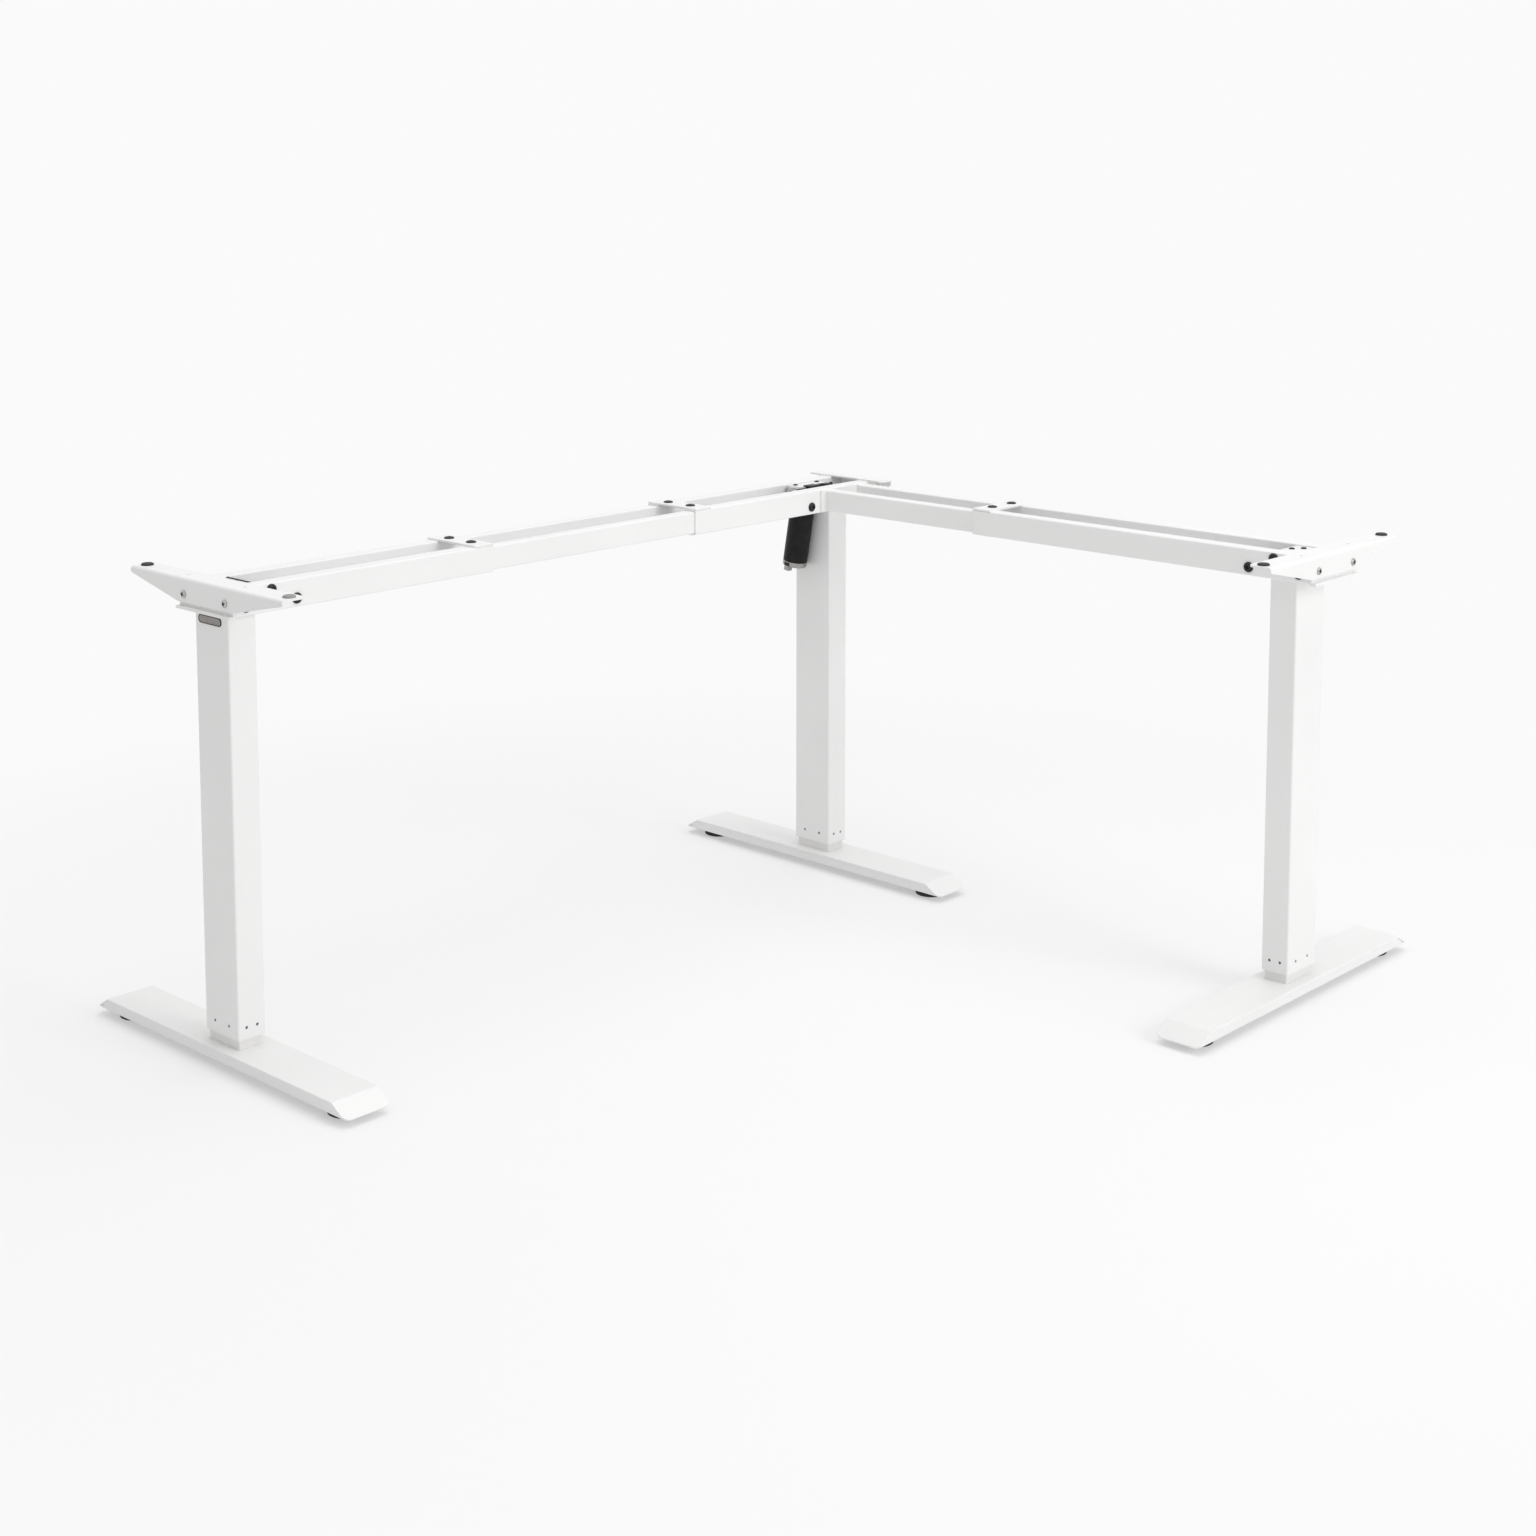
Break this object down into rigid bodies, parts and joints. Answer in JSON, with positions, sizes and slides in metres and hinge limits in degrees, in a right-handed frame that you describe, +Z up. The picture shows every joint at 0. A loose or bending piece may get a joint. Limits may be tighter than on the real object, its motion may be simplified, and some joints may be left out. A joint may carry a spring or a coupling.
{
  "type": "height adjustable standing desk frame",
  "caption": "L-shaped height adjustable standing desk frame with telescopic columns, flat feet, extending twin-rail beams, side arms and a motor that turns cross shafts.",
  "frame": {"origin": "on the floor, under the middle of the bounding box", "axes": "+Z up, +Y from the left leg to the corner leg along the long beam, +X from the corner leg to the right leg along the short beam"},
  "size_m": [1.333, 1.594, 0.7],
  "materials": {
    "white_powder_coat": "fine-textured white powder coat",
    "black_rubber": "matte",
    "grey_plastic": "moulded nylon",
    "cast_housing": "die-cast, light grey",
    "zinc": "bright zinc plate",
    "black_steel": "black oxide",
    "drive_steel": "turned steel",
    "motor_black": "satin black"
  },
  "bodies": {
    "corner_base": {"foot_corner": "white_powder_coat", "lower_tube_corner": "white_powder_coat", "lift_nut_corner": "grey_plastic"},
    "corner_glides": {"glides_corner": "black_rubber"},
    "corner_frame": {"upper_tube_corner": "white_powder_coat", "column_slider_corner": "grey_plastic", "head_bracket_corner": "white_powder_coat", "gearbox_corner": "cast_housing", "arm_corner": "white_powder_coat", "arm_screws_corner": "zinc", "black_bolts_corner": "black_steel", "clamp_plates_corner": "white_powder_coat", "sleeve_corner_near": "white_powder_coat", "sleeve_corner_far": "white_powder_coat", "short_rail_near": "white_powder_coat", "short_rail_far": "white_powder_coat", "motor_housing": "motor_black", "motor_end_cap": "zinc"},
    "corner_screw": {"lead_screw_corner": "drive_steel"},
    "left_base": {"foot_left": "white_powder_coat", "lower_tube_left": "white_powder_coat", "lift_nut_left": "grey_plastic"},
    "left_glides": {"glides_left": "black_rubber"},
    "left_frame": {"upper_tube_left": "white_powder_coat", "column_slider_left": "grey_plastic", "head_bracket_left": "white_powder_coat", "gearbox_left": "cast_housing", "arm_left": "white_powder_coat", "arm_screws_left": "zinc", "black_bolts_left": "black_steel", "clamp_plates_left": "white_powder_coat", "arm_pads_left": "black_rubber", "sleeve_left_near": "white_powder_coat", "sleeve_left_far": "white_powder_coat"},
    "left_screw": {"lead_screw_left": "drive_steel"},
    "right_base": {"foot_right": "white_powder_coat", "lower_tube_right": "white_powder_coat", "lift_nut_right": "grey_plastic"},
    "right_glides": {"glides_right": "black_rubber"},
    "right_frame": {"upper_tube_right": "white_powder_coat", "column_slider_right": "grey_plastic", "head_bracket_right": "white_powder_coat", "gearbox_right": "cast_housing", "arm_right": "white_powder_coat", "arm_screws_right": "zinc", "black_bolts_right": "black_steel", "clamp_plates_right": "white_powder_coat", "arm_pads_right": "black_rubber", "sleeve_right_near": "white_powder_coat", "sleeve_right_far": "white_powder_coat"},
    "right_screw": {"lead_screw_right": "drive_steel"},
    "middle_rails": {"middle_rail_near": "white_powder_coat", "middle_rail_far": "white_powder_coat"},
    "long_shaft_tube": {"long_shaft_tube": "drive_steel"},
    "long_shaft_rod": {"long_shaft_rod": "drive_steel"},
    "short_shaft_tube": {"short_shaft_tube": "drive_steel"},
    "short_shaft_rod": {"short_shaft_rod": "drive_steel"},
    "motor_rotor": {"motor_rotor": "drive_steel"}
  },
  "joints": [
    {"name": "lift", "type": "slide", "parent": "corner_base", "child": "corner_frame", "axis": [0, 0, 1], "range_m": [0, 0.45]},
    {"name": "middle_rails_slide", "type": "slide", "parent": "corner_frame", "child": "middle_rails", "axis": [0, -1, 0], "range_m": [-0.03, 0.15]},
    {"name": "left_leg_slide", "type": "slide", "parent": "middle_rails", "child": "left_frame", "axis": [0, -1, 0], "range_m": [-0.03, 0.15]},
    {"name": "right_leg_slide", "type": "slide", "parent": "corner_frame", "child": "right_frame", "axis": [1, 0, 0], "range_m": [-0.06, 0.3]},
    {"name": "left_column", "type": "slide", "parent": "left_frame", "child": "left_base", "axis": [0, 0, -1], "range_m": [0, 0.45]},
    {"name": "right_column", "type": "slide", "parent": "right_frame", "child": "right_base", "axis": [0, 0, -1], "range_m": [0, 0.45]},
    {"name": "corner_screw_spin", "type": "hinge", "parent": "corner_frame", "child": "corner_screw", "pos_m": [-0.3615, 0.492, 0.6735], "axis": [0, 0, 1], "range_deg": [0, 13510]},
    {"name": "left_screw_spin", "type": "hinge", "parent": "left_frame", "child": "left_screw", "pos_m": [-0.3615, -0.758, 0.6735], "axis": [0, 0, 1], "range_deg": [0, 13510]},
    {"name": "right_screw_spin", "type": "hinge", "parent": "right_frame", "child": "right_screw", "pos_m": [0.5985, 0.492, 0.6735], "axis": [0, 0, 1], "range_deg": [0, 13510]},
    {"name": "long_tube_spin", "type": "hinge", "parent": "corner_frame", "child": "long_shaft_tube", "pos_m": [-0.3615, 0.492, 0.6735], "axis": [0, 1, 0], "range_deg": [-27010, 0]},
    {"name": "long_rod_spin", "type": "hinge", "parent": "left_frame", "child": "long_shaft_rod", "pos_m": [-0.3615, -0.758, 0.6735], "axis": [0, 1, 0], "range_deg": [-27010, 0]},
    {"name": "short_tube_spin", "type": "hinge", "parent": "corner_frame", "child": "short_shaft_tube", "pos_m": [-0.3615, 0.492, 0.6735], "axis": [1, 0, 0], "range_deg": [0, 27010]},
    {"name": "short_rod_spin", "type": "hinge", "parent": "right_frame", "child": "short_shaft_rod", "pos_m": [0.5985, 0.492, 0.6735], "axis": [1, 0, 0], "range_deg": [0, 27010]},
    {"name": "motor_spin", "type": "hinge", "parent": "corner_frame", "child": "motor_rotor", "pos_m": [-0.3615, 0.446, 0.6735], "axis": [-0.1736, 0, -0.9848], "range_deg": [0, 27010]},
    {"name": "corner_glides_level", "type": "slide", "parent": "corner_base", "child": "corner_glides", "axis": [0, 0, -1], "range_m": [0, 0.01]},
    {"name": "left_glides_level", "type": "slide", "parent": "left_base", "child": "left_glides", "axis": [0, 0, -1], "range_m": [0, 0.01]},
    {"name": "right_glides_level", "type": "slide", "parent": "right_base", "child": "right_glides", "axis": [0, 0, -1], "range_m": [0, 0.01]}
  ],
  "couplings": [
    {"joint": "left_column", "follows": "lift", "ratio": 1},
    {"joint": "right_column", "follows": "lift", "ratio": 1},
    {"joint": "corner_screw_spin", "follows": "lift", "rad_per_m": 523.6},
    {"joint": "left_screw_spin", "follows": "lift", "rad_per_m": 523.6},
    {"joint": "right_screw_spin", "follows": "lift", "rad_per_m": 523.6},
    {"joint": "long_tube_spin", "follows": "lift", "rad_per_m": -1047.2},
    {"joint": "long_rod_spin", "follows": "lift", "rad_per_m": -1047.2},
    {"joint": "short_tube_spin", "follows": "lift", "rad_per_m": 1047.2},
    {"joint": "short_rod_spin", "follows": "lift", "rad_per_m": 1047.2},
    {"joint": "motor_spin", "follows": "lift", "rad_per_m": 1047.2}
  ]
}
